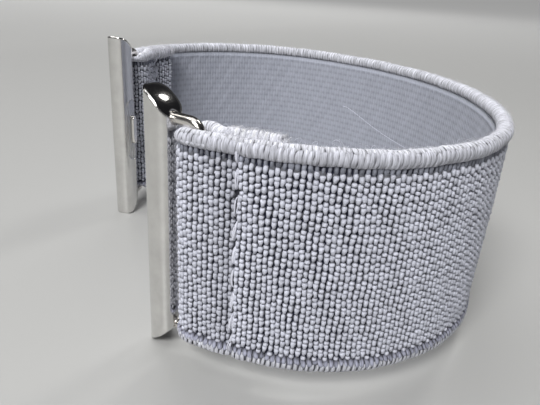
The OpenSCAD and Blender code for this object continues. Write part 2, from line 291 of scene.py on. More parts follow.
def ring_triangles(rings, sides, flipped=False):
    """Triangles of a closed skin over rings of points, with a fan at each end."""
    i, j = np.meshgrid(np.arange(rings - 1), np.arange(sides), indexing="ij")
    a, b = (i * sides + j).ravel(), (i * sides + (j + 1) % sides).ravel()
    last = (rings - 1) * sides
    k = np.arange(1, sides - 1)
    triangles = np.hstack([[a, a + sides, b + sides], [a, b + sides, b], [0 * k, k, k + 1],
                           [last + 0 * k, last + k + 1, last + k]]).T
    return triangles[:, ::-1] if flipped else triangles


# Materials

def tune(tree, made, *entries, **values):
    """Fills a node's inputs in order, then its settings and inputs by name. Sockets are linked."""
    for index, value in [*enumerate(entries), *values.items()]:
        if isinstance(index, str) and hasattr(made, index):
            setattr(made, index, value)
            continue
        entry = made.inputs[index.replace("_", " ") if isinstance(index, str) else index]
        if isinstance(value, bpy.types.NodeSocket):
            tree.links.new(value, entry)
        else:
            entry.default_value = value
    return made


def node(tree, kind, *entries, **values):
    return tune(tree, tree.nodes.new("ShaderNode" + kind), *entries, **values)


def tone_ramp(tree, source, *stops):
    """A ramp's output colour for a source, from two or more stops of (position, colour)."""
    ramp = node(tree, "ValToRGB", source)
    elements = ramp.color_ramp.elements
    for element, (position, colour) in zip(list(elements), stops):
        element.position, element.color = position, (*colour, 1)
    for position, colour in stops[2:]:
        elements.new(position).color = (*colour, 1)
    return ramp.outputs["Color"]


def new_material(name):
    material = bpy.data.materials.new(name)
    material.use_nodes = True
    tree = material.node_tree
    tree.nodes.clear()
    shader = node(tree, "BsdfPrincipled")
    node(tree, "OutputMaterial", Surface=shader.outputs[0])
    return material, tree, shader


def yarn_material(name, fibre_scale, contrast, roughness=0.86, sheen=0.25, bump=0.35):
    """Yarn in the mesh's own colour, streaked, with relief. fibre_scale is streaks for each unit of grain."""
    material, tree, shader = new_material(name)
    colour = node(tree, "Attribute", attribute_name="yarn")
    grain = node(tree, "Attribute", attribute_name="grain")
    scaled = node(tree, "VectorMath", grain.outputs["Vector"], fibre_scale, operation="MULTIPLY")
    fibres = node(tree, "TexNoise", scaled.outputs[0], Scale=1.0, Detail=3.0, Roughness=0.6)
    streaks = node(tree, "MapRange", fibres.outputs["Fac"], From_Min=0.3, From_Max=0.7,
                   To_Min=1 - contrast, To_Max=1 + contrast * 0.55)
    mix = node(tree, "Mix", data_type="RGBA", blend_type="MULTIPLY", Factor=1.0,
               A=colour.outputs["Color"], B=streaks.outputs[0])
    relief = node(tree, "Bump", Strength=bump, Distance=0.00006, Height=fibres.outputs["Fac"])
    tune(tree, shader, Base_Color=mix.outputs["Result"], Normal=relief.outputs[0], Roughness=roughness,
         Sheen_Weight=sheen, Sheen_Roughness=0.5, Specular_IOR_Level=0.25)
    return material


def crown_normal(tree, edge, crown):
    """The normal of flat faces that look slightly domed about RAIL_AXIS, on both sides of the band."""
    coordinates = node(tree, "TexCoord")
    folded = node(tree, "VectorMath", coordinates.outputs["Object"], operation="ABSOLUTE")
    middle = (*[abs(v) * MM for v in RAIL_AXIS], 0)
    from_axis = node(tree, "VectorMath", folded.outputs[0], middle, operation="SUBTRACT")
    level = node(tree, "VectorMath", from_axis.outputs[0], (1, 1, 0), operation="MULTIPLY")
    square = node(tree, "VectorMath", level.outputs[0], level.outputs[0], operation="DOT_PRODUCT")
    height = node(tree, "Math", square.outputs["Value"], -crown, operation="MULTIPLY")
    bump = node(tree, "Bump", Strength=1.0, Distance=1.0, Height=height.outputs[0], Normal=edge)
    return bump.outputs[0]


def metal_material(name, colour, rough, scratch, stretch_by=(1, 1, 1), rounding=0.00014, crown=0.0):
    """Metal with faint uneven polish and fine scratches. rough is its lowest and highest roughness."""
    material, tree, shader = new_material(name)
    coordinates = node(tree, "TexCoord")
    mapping = node(tree, "Mapping", coordinates.outputs["Object"], Scale=stretch_by)
    blotches = node(tree, "TexNoise", mapping.outputs[0], Scale=540.0, Detail=4.0, Roughness=0.65)
    polish = node(tree, "MapRange", blotches.outputs["Fac"], From_Min=0.35, From_Max=0.75,
                  To_Min=rough[0], To_Max=rough[1])
    tint = tone_ramp(tree, blotches.outputs["Fac"], (0.3, [c * 0.86 for c in colour]), (0.75, colour))
    lines = node(tree, "TexNoise", mapping.outputs[0], Scale=5400.0, Detail=2.0, Roughness=0.7)
    edge = node(tree, "Bevel", samples=8, Radius=rounding).outputs[0]
    normal = crown_normal(tree, edge, crown) if crown else edge
    relief = node(tree, "Bump", Strength=scratch, Distance=0.00001, Height=lines.outputs["Fac"],
                  Normal=normal)
    tune(tree, shader, Base_Color=tint, Roughness=polish.outputs[0], Normal=relief.outputs[0], Metallic=1.0)
    return material


PALE = np.array([0.70, 0.715, 0.81])
# Partly the web core's own dark navy, partly painted shade for the gaps between the loops, the feet of the
# beads and the grooves between a cord's wraps
DEEP_SHADE = np.array([0.0210, 0.0224, 0.0434])
# The rails' middle, in the frame
RAIL_AXIS = (-22.662, -18.372)
weave_yarn = yarn_material("weave_yarn", (9, 5, 1), 0.26, sheen=0.05, bump=0.7)
inner_yarn = yarn_material("inner_yarn", (26, 6, 1), 0.12, sheen=0.1)
cord_yarn = yarn_material("cord_yarn", (4.2, 0.6, 1), 0.50, sheen=0.10, bump=0.8)
thread_yarn = yarn_material("sewing_thread", (16, 1.5, 1), 0.28, sheen=0.35, roughness=0.7)
fuzz_yarn = yarn_material("fuzz", (10, 10, 10), 0.1, sheen=0.4)
chrome = metal_material("polished_steel", (0.82, 0.80, 0.77), (0.08, 0.17), 0.03)
rail_chrome = metal_material("polished_rail", (0.80, 0.79, 0.77), (0.09, 0.16), 0.03, rounding=0.0004,
                             crown=70.0)
wire_chrome = metal_material("polished_wire", (0.83, 0.80, 0.76), (0.19, 0.28), 0.05)
satin = metal_material("satin_steel", (0.62, 0.62, 0.62), (0.22, 0.34), 0.12, (1, 1, 0.08))
spring_steel = metal_material("spring_steel", (0.5, 0.5, 0.51), (0.2, 0.35), 0.08)


# Woven loops of the front face

def dome(outline, rings):
    """Points and triangles of a bead: rings of (height, width) of an outline, and a top at height 1."""
    shape = np.array(outline)
    sides = len(shape)
    points = [np.column_stack([shape * width, np.full(sides, height)]) for height, width in rings]
    points.append([[0, 0, 1.0]])
    triangles = [[0, k + 1, k] for k in range(1, sides - 1)]
    for r in range(len(rings) - 1):
        for k in range(sides):
            a, b = r * sides + k, r * sides + (k + 1) % sides
            triangles += [[a, b, a + sides], [b, b + sides, a + sides]]
    top, base = len(rings) * sides, (len(rings) - 1) * sides
    triangles += [[base + k, base + (k + 1) % sides, top] for k in range(sides)]
    return np.vstack(points), np.array(triangles)


# Outlines of unit half width and half length, from the wide upper end down
SINGLE = [(1.0, 0.30), (0.82, 0.78), (0.34, 1.0), (-0.34, 1.0), (-0.82, 0.78), (-1.0, 0.30),
          (-0.84, -0.42), (-0.58, -0.88), (-0.20, -1.0), (0.20, -1.0), (0.58, -0.88), (0.84, -0.42)]
CAP = [(1.0, 0.10), (0.80, 0.75), (0.28, 1.0), (-0.28, 1.0), (-0.80, 0.75),
       (-1.0, 0.10), (-0.82, -0.70), (-0.34, -1.0), (0.34, -1.0), (0.82, -0.70)]
TOOTH = [(1.0, 0.45), (0.78, 0.90), (0.0, 1.0), (-0.78, 0.90), (-1.0, 0.45), (-0.88, 0.0),
         (-0.68, -0.5), (-0.46, -1.0), (0.46, -1.0), (0.68, -0.5), (0.88, 0.0)]
OVAL = [(cos_of(a), sin_of(a)) for a in range(0, 360, 60)]
BEAD_RINGS = [(-0.6, 0.95), (0.12, 1.0), (0.66, 0.78)]
SINGLE_BEAD, CAP_BEAD, TOOTH_BEAD = [dome(shape, BEAD_RINGS) for shape in (SINGLE, CAP, TOOTH)]
PAD = dome(OVAL, [(-0.6, 1.0), (0.6, 0.97)])
NECK = dome(OVAL, [(-0.6, 0.95), (0.45, 0.85)])

WEAVE_LOW, WEAVE_HIGH = 1.62, BAND_WIDTH - 2.15
# How far the first row of loops lies under the weave's upper edge
FIRST_ROW = 0.35
# One repeat of a column: template, distance down the column, half sizes, offset to the front, tone; the low
# tones of the pads and necks under the beads are painted shade in the gaps between them
REPEAT_PARTS = [
    (SINGLE_BEAD, 0.00, (0.256, 0.395, 0.30), 0.52, 0.97),
    (CAP_BEAD, 0.655, (0.282, 0.216, 0.31), 0.53, 1.01),
    (TOOTH_BEAD, 1.235, (0.282, 0.380, 0.31), 0.52, 0.97),
    (PAD, 0.00, (0.315, 0.45, 0.25), 0.385, 0.22),
    (PAD, 1.00, (0.315, 0.52, 0.25), 0.385, 0.22),
    (NECK, 0.42, (0.180, 0.150, 0.25), 0.45, 0.42),
    (NECK, 1.62, (0.160, 0.150, 0.25), 0.45, 0.38),
]
# Unevenness, as standard deviations: of a bead's three half sizes, its place along and down the band, its
# depth, turn, taper and tone, and of each of its points
SIZE_SPREAD = np.array([0.05, 0.07, 0.07])
ALONG_SPREAD, DOWN_SPREAD, DEPTH_SPREAD = 0.020, 0.024, 0.022
TURN_SPREAD, TAPER_SPREAD, TONE_SPREAD = 0.10, 0.06, 0.05
POINT_SPREAD = (0.015, 0.017)
# A seam's thread squeezes the beads beside it and pushes them aside, and more so at the open needle hole
THREAD_REACH, THREAD_SQUEEZE, THREAD_PUSH = 0.45, 0.16, 0.05
HOLE_REACH, HOLE_PUSH = 0.42, 0.30
# The row of threads between the beads and the upper cord, darkened with painted shade under the cord: height
# over the weave's upper edge, half sizes and their spread, tone and its spread
ROW_RISE = 0.24
ROW_SIZE, ROW_SIZE_SPREAD = np.array([0.225, 0.46, 0.25]), np.array([0.18, 0.12, 0.06])
ROW_SHADE, ROW_SHADE_SPREAD = 0.44, 0.24
# Offset of the web's core under the loops
CORE_FRONT = 0.43
column_s = on_route((np.arange(columns) + 0.5) * COLUMN_WIDTH)


def beads(template, s, z, u, half, taper, turn, colour_top, foot_shade_colour, upright=False):
    """Many copies of a bead on the front face. half is three half sizes for each, and taper narrows its lower
    end."""
    points, triangles = template
    c, n = np.cos(turn)[:, None], np.sin(turn)[:, None]
    rough = RNG.normal(0, 1, (2, len(s), len(points)))
    narrowed = half[:, 0:1] * (1 + taper[:, None] * points[:, 1])
    a = points[:, 0] * narrowed + POINT_SPREAD[0] * rough[0]
    b = points[:, 1] * half[:, 1:2] + POINT_SPREAD[1] * rough[1]
    ss = s[:, None] + (a * c - b * n) / stretch(s)[:, None]
    zz = z[:, None] + a * n + b * c
    where = place(ss, u[:, None] + points[:, 2] * half[:, 2:3], zz)
    # Painted shade: from a dark colour at the bead's foot, where it sinks between its neighbours, to the top
    # colour up the bead, and a little darker at its lower end, as if lit from above
    rise = np.clip((points[:, 2] + 0.3) / 0.9, 0, 1)[:, None]
    shaded = (0.92 + 0.08 * np.clip(points[:, 1] * 2, -2, 1))[:, None]
    colour = (foot_shade_colour[:, None, :] * (1 - rise) + colour_top[:, None, :] * rise) * shaded
    # A number of its own for each bead, so that no two have the same streaks
    own = np.broadcast_to(s[:, None] * 7.3 % 5.1 + z[:, None] * 3.1 % 4.3, ss.shape)
    grain = np.stack([ss, zz, own] if upright else [zz, ss, own], -1)
    return where, copies(triangles, len(points), len(s)), colour, grain


def beside_seams(s):
    """The columns beside a seam, moved so that the seam lies between two of them."""
    for at in SEAMS:
        off = np.interp(at, route_s, front_length) / COLUMN_WIDTH % 1
        off = off if off < 0.5 else off - 1
        s = s + off * COLUMN_WIDTH * np.exp(-np.abs(s - at) / 2.5)
    return s


def column_beads(s, z, template, at, size, offset, shade):
    """One bead of the repeat in each column and row: s and z are where the repeats begin."""
    jitter = RNG.normal(0, 1, (len(s), 9))
    zc = z - at + DOWN_SPREAD * jitter[:, 0]
    drift = 0.045 * np.sin(s * 1.7 + zc * 0.5) + 0.035 * np.sin(zc * 1.3 + s * 0.4)
    sc = s + (ALONG_SPREAD * jitter[:, 1] + drift) / stretch(s)
    half = np.array(size) * (1 + np.clip(jitter[:, 2:5], -2, 2) * SIZE_SPREAD)
    to_seam = sc[:, None] - np.array(SEAMS)
    nearest = to_seam[np.arange(len(s)), np.argmin(np.abs(to_seam), axis=1)]
    close = bell(nearest, THREAD_REACH)
    hole = bell(zc - HOLE_Z, HOLE_REACH) * (np.abs(sc - seam_on_outer) < 1)
    half[:, 0] *= 1 - THREAD_SQUEEZE * close
    sc = sc + np.sign(nearest) * close * (THREAD_PUSH + HOLE_PUSH * hole)
    uc = offset - seam_dip(s) + DEPTH_SPREAD * jitter[:, 5]
    tone = 1 + TONE_SPREAD * np.clip(jitter[:, 7], -2, 2) + 0.045 * blotch(s, zc)
    top = PALE * (shade * tone * seam_shade_and_light(sc))[:, None]
    # Painted shade at each bead's foot, where it sinks between its neighbours
    foot_shade = DEEP_SHADE * 0.4 + 0.11 * top
    keep = (zc < WEAVE_HIGH - half[:, 1] * 0.6) & (zc > WEAVE_LOW + half[:, 1] * 0.6)
    turn, taper = TURN_SPREAD * jitter[:, 6], TAPER_SPREAD * jitter[:, 8]
    return beads(template, *[values[keep] for values in (sc, zc, uc, half, taper, turn, top, foot_shade)])


def thread_row(s):
    """The threads between the beads and the upper cord, one to a column, darkened with painted shade under
    the cord.
    """
    jitter = RNG.normal(0, 1, (len(s), 4))
    half = ROW_SIZE * (1 + ROW_SIZE_SPREAD * np.clip(jitter[:, :3], -2, 2))
    # Painted shade under the upper cord
    tone = ROW_SHADE * (1 + ROW_SHADE_SPREAD * np.clip(jitter[:, 3], -1.8, 1.8)) * seam_shade_and_light(s)
    top = PALE * tone[:, None] * np.array([0.97, 0.99, 1.03])
    # Painted shade at each thread's foot
    foot_shade = DEEP_SHADE * 0.5 + 0.12 * top
    z, u = WEAVE_HIGH + ROW_RISE + 0.04 * jitter[:, 1], CORE_FRONT - seam_dip(s)
    return beads(CAP_BEAD, s, z, u, half, 0.05 * jitter[:, 0], 0.06 * jitter[:, 2], top, foot_shade, upright=True)


def weave_columns(first, last, name):
    """The loops of a run of columns, as one mesh."""
    ids = np.arange(first, last)
    column = beside_seams(column_s[ids])
    repeats = int(np.ceil((WEAVE_HIGH - WEAVE_LOW) / REPEAT)) + 1
    s, row = np.meshgrid(column, np.arange(-1, repeats), indexing="ij")
    shift = np.where(ids % 2, REPEAT / 2, 0) + 0.05 * np.sin(ids * 0.7)
    z = WEAVE_HIGH - FIRST_ROW - row * REPEAT + shift[:, None]
    parts = [column_beads(s.ravel(), z.ravel(), *part) for part in REPEAT_PARTS]
    strap_piece(name, "web_weave", weave_yarn, parts + [thread_row(column)])


# Three pieces for each half of the loop
cuts = [0, round(columns * 0.17), round(columns * 0.335), round(columns * 0.5)]
cuts = cuts + [columns - c for c in cuts[-2::-1]]
names = ["weave_end_a", "weave_side_a", "weave_far_a", "weave_far_b", "weave_side_b", "weave_end_b"]
for first, last, name in zip(cuts[:-1], cuts[1:], names):
    weave_columns(first, last, name)


# The web's core: painted shade between the loops in front, a ribbed inner face behind

def grid_faces(rows, cols, start):
    i, j = np.meshgrid(np.arange(rows - 1), np.arange(cols - 1), indexing="ij")
    a = (i * cols + j).ravel() + start
    return np.column_stack([a, a + cols, a + cols + 1, a + 1])


def rim(rows, cols, offset):
    """The points round a grid's edge, in order."""
    ring = [(i, 0) for i in range(rows)] + [(rows - 1, j) for j in range(1, cols)]
    ring += [(i, cols - 1) for i in range(rows - 2, -1, -1)] + [(0, j) for j in range(cols - 2, 0, -1)]
    return [offset + i * cols + j for i, j in ring]


def slab(front, back, ratio):
    """A closed skin from a front grid and a back grid that is finer by the same ratio both ways."""
    front_shape, back_shape = front.shape[:2], back.shape[:2]
    start = front_shape[0] * front_shape[1]
    faces = grid_faces(*front_shape, 0)[:, ::-1].tolist() + grid_faces(*back_shape, start).tolist()
    outer, inner = rim(*front_shape, 0), rim(*back_shape, start)
    for k in range(len(outer)):
        span = [inner[(k * ratio + m) % len(inner)] for m in range(ratio + 1)]
        faces.append([outer[k], outer[(k + 1) % len(outer)], *span[::-1]][::-1])
    return np.concatenate([front.reshape(-1, 3), back.reshape(-1, 3)]), faces


# Samples of the inner face for each column, and for each cell of the core
FINE = 4
CELL = 0.7
CORE_LOW, CORE_HIGH = 1.5, BAND_WIDTH - 1.5
# The inner face: its offset behind the middle line, the height of its ribs, the depth of its dashes, and the
# raised line along each edge with its distance from the edge and its width
CORE_BACK, RIB_HEIGHT, DASH_DEPTH = 0.63, 0.07, 0.035
EDGE_LINE, EDGE_LINE_AT, EDGE_LINE_WIDTH = 0.06, 2.05, 0.22
core_s = on_route(np.linspace(0, FRONT, columns + 1))
fine_s = on_route(np.linspace(0, FRONT, columns * FINE + 1))
core_rows = round((CORE_HIGH - CORE_LOW) / CELL)
core_z = np.linspace(CORE_LOW, CORE_HIGH, core_rows + 1)
fine_z = np.linspace(CORE_LOW, CORE_HIGH, core_rows * FINE + 1)


def web_core(first, last, name, replaced):
    ss, zz = np.meshgrid(core_s[first:last + 1], core_z, indexing="ij")
    front = place(ss, CORE_FRONT - seam_dip(ss), zz)
    # Painted shade: the core shows dark in the gaps between the loops, but for the drawn-in cloth under the
    # seams, and near black in the open needle hole
    in_seam = sum(bell(ss - at, 0.4) for at in SEAMS)[..., None]
    at_hole = (bell(ss - seam_on_outer, 0.5) * bell(zz - HOLE_Z, 0.5))[..., None]
    gap_shade = (DEEP_SHADE * (1 - 0.5 * in_seam) + PALE * 0.10 * in_seam) * (1 - 0.95 * at_hole)

    fs, fz = np.meshgrid(fine_s[first * FINE:last * FINE + 1], fine_z, indexing="ij")
    column = np.arange(first * FINE, last * FINE + 1)[:, None] / FINE
    rib = np.abs(np.sin(np.pi * column)) ** 0.7
    # Dark dashes a column wide, one to a repeat, half a repeat further in the next column
    half_repeats = (fz - CORE_LOW) / (REPEAT / 2)
    phase = half_repeats + np.floor(column) % 2 + 0.04 * np.sin(fs * 2.3)
    dash = np.clip(np.cos(np.pi * phase), 0, 1) ** 5
    # The dashes of all columns lie in rows, which show as fine ribs along the band
    row = np.clip(np.cos(2 * np.pi * half_repeats), -0.4, 1)
    line = sum(bell(fz - at, EDGE_LINE_WIDTH) for at in (BAND_WIDTH - EDGE_LINE_AT, EDGE_LINE_AT))
    depth = CORE_BACK + RIB_HEIGHT * rib - DASH_DEPTH * dash + EDGE_LINE * line
    back = place(fs, -depth - 0.02 * np.sin(fs * 2.1 + fz * 1.7), fz)
    tone = 0.575 + 0.07 * rib - 0.08 * dash - 0.035 * row + 0.20 * line + 0.03 * blotch(fs, fz, 2.0)
    back_colour = PALE * np.array([0.93, 0.95, 0.97]) * np.clip(tone, 0, 1.2)[..., None]

    points, faces = slab(front, back, FINE)
    colour = np.concatenate([gap_shade.reshape(-1, 3), back_colour.reshape(-1, 3)])
    grain = np.concatenate([np.stack([s, z, 0 * s], -1).reshape(-1, 3) for s, z in ((ss, zz), (fs, fz))])
    made = mesh_object(name, points, faces, inner_yarn, colour, grain)
    dress(made, "strap", "web_weave", *replaced)


web_core(0, columns // 2, "web_core_a", ["elastic_web"])
web_core(columns // 2, columns, "web_core_b", [])


# Edge cords, wrapped with yarn that meets in a chevron

# A side is 1 for the upper cord and -1 for the lower
CORD_MIDDLE = {1: BAND_WIDTH - CORD_R, -1: CORD_R}
WRAP_PITCH = {1: 0.52, -1: 0.5625}
# Angles from the front towards the edge: where the wraps from the front come out of the weave, where they
# meet those from the back, and where those end
FIRST_ANGLE = {1: -74, -1: -104}
MEETING = {1: 52, -1: -16}
LAST_ANGLE = 258
# How far the wraps from the back and from the front pass the meeting, and how far each leans along the cord
BACK_OVERLAP, FRONT_OVERLAP = 16, 8
BACK_LEAN, FRONT_LEAN = -0.35, 0.16
# Tints of the wraps from the back and from the front. On the lower cord they are also painted light and
# shade: the wraps from the back brighter, as if lit from the floor below, those from the front darker, in the
# web's shadow
BACK_TINT_AND_LIGHT = {1: (1.05, 1.04, 1.0), -1: (1.14, 1.13, 1.09)}
FRONT_TINT_AND_SHADE = {1: (1.03, 1.02, 1.0), -1: (0.66, 0.66, 0.72)}
# The filling's radius, the wraps' and the height of their crown, as shares of the cord's
FILLING, WRAPPED = 0.83, 0.90
CROWN_HEIGHT = {1: 0.080, -1: 0.095}
# Width of a wrap, as a share of its room on the cord
WRAP_SPREAD = {1: 1.10, -1: 0.90}
# A wrap's cross section, over its half width and its crown, and its taper towards both ends
ACROSS = np.array([-1, -0.72, 0, 0.72, 1, 0.8, -0.8])
CROWN = np.array([0.0, 0.74, 1.0, 0.74, 0.0, -0.9, -0.9])
TIP_WIDTH = np.array([0.72, 0.94, 1, 1, 1, 1, 1, 1, 1, 0.92, 0.55])
TIP_HEIGHT = np.array([0.2, 0.8, 1, 1, 1, 1, 1, 1, 1, 0.8, 0.3])
# The flap's upper cord is fuller, all round and on its top
LOOSE, LOOSE_TOP = 0.13, 0.07


def cord_z(side, s, height, flat):
    """Height on the band from a height over a cord's middle, as it is where the cord is pressed flat."""
    height = (height + CORD_FLAT) * (1 - FLAT_SHARE * np.interp(s, route_s, flat)) - CORD_FLAT
    return CORD_MIDDLE[side] + side * height


def cord_point(ss, r, a, side, flat):
    """Points of an edge cord from distance along the route, radius and angle."""
    pinch = sum(bell(ss - at, 0.45) for at in SEAMS)
    from_cut = np.minimum(ss, LENGTH - ss)
    r = r * (1 - 0.10 * pinch) * (1 - 0.22 * np.exp(-np.clip(from_cut, 0, None) / 0.5))
    # Thinner where it is pressed, most of all at the back, where the bar is
    pressed = np.interp(ss, route_s, flat_in_swing)
    r = r * (1 - pressed * (0.04 + 0.12 * np.clip(-np.cos(a), 0, 1)))
    bow = (0.035 * np.sin(ss * 0.55) + 0.03 * np.sin(ss * 1.9 + 1)) * (1 - pressed)
    return place(ss, CORD_LIFT - 0.16 * pinch + r * np.cos(a), cord_z(side, ss, r * np.sin(a), flat) + bow)


def cord_core(side):
    """The filling under the wraps of an edge cord, its dark colour painted shade in the grooves between them.
    """
    s, angles = on_route(np.linspace(0, FRONT, 2 * columns + 1)), np.radians(np.linspace(0, 360, 15)[:-1])
    ss, aa = np.meshgrid(s, angles, indexing="ij")
    # Bare yarn at the cut ends
    bare = bell(np.minimum(ss, LENGTH - ss), 0.3)[..., None]
    # Painted shade in the grooves between the wraps, but for the bare yarn at the cut ends
    colour = (PALE * 0.17 + DEEP_SHADE * 0.5) * (1 - bare) + PALE * 0.8 * bare
    grain = np.stack([ss * 3, aa, ss * 0], -1)
    points = cord_point(ss, FILLING * CORD_R, aa, side, flat_in_swing)
    return points, ring_triangles(*ss.shape, side > 0), colour, grain


def wrap_painted_light(side, aa, on_flap):
    """A wrap's painted light and shade: bright on its crown and at the cord's top, painted shade in the
    grooves and beside the weave.
    """
    if side > 0:
        light_and_shade = np.clip(0.45 + 0.55 * CROWN, 0.32, 1) * (0.74 + 0.26 * TIP_HEIGHT[:, None])
        light_and_shade = light_and_shade * (0.86 + 0.28 * np.clip(np.sin(aa), 0, 1)) * (1 + 0.10 * on_flap)
        return light_and_shade * (0.60 + 0.40 * smooth((np.degrees(aa) + 78) / 36))
    light_and_shade = np.clip(0.15 + 0.85 * CROWN, 0.12, 1) * (0.62 + 0.38 * TIP_HEIGHT[:, None])
    return light_and_shade * (0.28 + 0.72 * smooth((np.degrees(aa) + 72) / 42))


def cord_wraps(side, first_angle, last_angle, lean, offset, tint, flat, span):
    """Wraps round an edge cord, each a flat strand with two pointed ends. offset moves them along by a share
    of a wrap, and span is the part of the route that gets them, or None."""
    count, steps = round(FRONT / WRAP_PITCH[side]), len(TIP_WIDTH)
    width = np.clip(RNG.normal(1, 0.12, count), 0.7, 1.35)
    edge = (np.concatenate([[0], np.cumsum(width)]) + offset) / (width.sum() + 1) * FRONT
    middle, reach = (edge[1:] + edge[:-1]) / 2, np.diff(edge) / 2
    if span:
        inside = (on_route(middle) > span[0]) & (on_route(middle) < span[1])
        middle, reach, count = middle[inside], reach[inside], int(inside.sum())
    jitter = RNG.normal(0, 1, (count, 5))
    along = np.linspace(0, 1, steps)
    first, last = first_angle + 7 * jitter[:, :1], last_angle + 9 * jitter[:, 1:2]
    slant = lean * (1 + 0.15 * jitter[:, 2:3]) * (along - 0.5) + 0.04 * np.sin(along * 9 + jitter[:, 3:4] * 3)
    half = reach[:, None] * TIP_WIDTH * WRAP_SPREAD[side]
    at = (middle[:, None] + slant)[..., None] + half[..., None] * ACROSS
    ss = on_route(np.clip(at, 0, FRONT))
    aa = np.broadcast_to(np.radians(first + (last - first) * along)[..., None], ss.shape)
    height = WRAPPED + 0.012 * np.clip(jitter[:, 4], -1.8, 1.8)[:, None, None]
    height = height + CROWN_HEIGHT[side] * TIP_HEIGHT[:, None] * CROWN
    # Uneven on the flap, and the upper cord fuller there, but for its cut end and where the arm presses it
    on_flap = np.clip(BAR_START - 0.5 - ss, 0, 1) + np.clip(ss - (LENGTH - BAR_START + 0.5), 0, 1)
    height = height + on_flap * 0.035 * np.sin(ss * 9.7 + aa * 4) * np.sin(ss * 4.1 - aa * 6)
    if side > 0:
        from_cut = np.minimum(ss, LENGTH - ss)
        free = on_flap * (1 - np.interp(ss, route_s, flat_in_swing)) * smooth(from_cut / 1.3 + 0.2)
        height = height + free * (LOOSE + LOOSE_TOP * np.clip(np.sin(aa), 0, 1))
    points = cord_point(ss, height * CORD_R, aa, side, flat)
    faces = copies(ring_triangles(steps, len(ACROSS), side < 0), steps * len(ACROSS), count)
    tone = 0.99 + 0.05 * np.clip(jitter[:, 0], -2, 2)[:, None, None] + 0.04 * blotch(ss, aa * 0.5)
    colour = PALE * np.array(tint) * (tone * wrap_painted_light(side, aa, on_flap))[..., None]
    own = np.broadcast_to(jitter[:, 2][:, None, None] * 3, ss.shape)
    grain = np.stack([at / WRAP_PITCH[side], aa * CORD_R, own], -1)
    return points, faces, np.clip(colour, 0, 0.95), grain


def chevron_wraps(side, flat=flat_in_swing, span=None):
    """The wraps that come from the back, and those from the front, which meet them."""
    begin, end = MEETING[side] - BACK_OVERLAP, MEETING[side] + FRONT_OVERLAP
    return [cord_wraps(side, begin, LAST_ANGLE, BACK_LEAN, 0.5, BACK_TINT_AND_LIGHT[side], flat, span),
            cord_wraps(side, FIRST_ANGLE[side], end, FRONT_LEAN, 0.0, FRONT_TINT_AND_SHADE[side], flat, span)]


def cord_rise(name, side, end):
    """The cord as it stands up beside the resting arm."""
    around = route_s[from_bar < full_reach + 0.2]
    around = around[around < LENGTH / 2] if end == "a" else around[around > LENGTH / 2]
    wraps = chevron_wraps(side, flat_at_rest, (around.min(), around.max()))
    piece = strap_piece(name, "edge_cord", cord_yarn, wraps)
    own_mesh(piece)


for side, level in ((1, "upper"), (-1, "lower")):
    parts = [cord_core(side)] + chevron_wraps(side)
    strap_piece("edge_cord_" + level, "edge_cord", cord_yarn, parts, level + "_edge_cord")
for end in "ab":
    cord_rise("cord_rise_upper_" + end, 1, end)
    cord_rise("cord_rise_lower_" + end, -1, end)


# Threads: tubes through points, for stitches, frayed yarn and stray fibres

def tubes(paths, radii, sides, colours):
    """Closed tubes. paths is (n, m, 3) in metres, radii (n, m) in metres, colours (n, 3)."""
    n, m = paths.shape[:2]
    along = np.gradient(paths, axis=1)
    along /= np.linalg.norm(along, axis=2, keepdims=True) + 1e-12
    reference = np.where(np.abs(along[..., 2:3]) > 0.9, np.array([1.0, 0, 0]), np.array([0, 0, 1.0]))
    across = np.cross(along, reference)
    across /= np.linalg.norm(across, axis=2, keepdims=True) + 1e-12
    other = np.cross(along, across)
    angle = 2 * np.pi * np.arange(sides) / sides
    ring = np.cos(angle)[:, None] * across[:, :, None] + np.sin(angle)[:, None] * other[:, :, None]
    points = paths[:, :, None] + ring * radii[:, :, None, None]
    colour = np.broadcast_to(colours[:, None, :], (n, m * sides, 3))
    lengths = np.linspace(0, 1, m)[None, :, None] * 3
    grain = np.stack(np.broadcast_arrays(angle * 0.35, lengths, np.arange(n)[:, None, None] * 1.7), -1)
    return points, copies(ring_triangles(m, sides), m * sides, n), colour, grain


STITCH_PITCH, STITCH_LENGTH = 2.6, 2.25
STITCH_LOW, STITCH_HIGH = 1.2, BAND_WIDTH - 1.35
STRAND_R, STRAND_R_SPREAD = 0.062, 0.026
# Depth of a stitch's middle under the front face, and how much deeper its two ends go
STITCH_DEPTH, STITCH_DIVE = 0.13, 0.40
# Distance between a stitch's strands, which grows from FAN_FROM down
FAN, FAN_SPREAD, FAN_GROWTH = 0.060, 0.05, 0.7
FAN_FROM, FAN_OVER = 13.0, 6.0
# Half of the stretch that the strands leave open at the needle hole
HOLE_HALF = 0.42


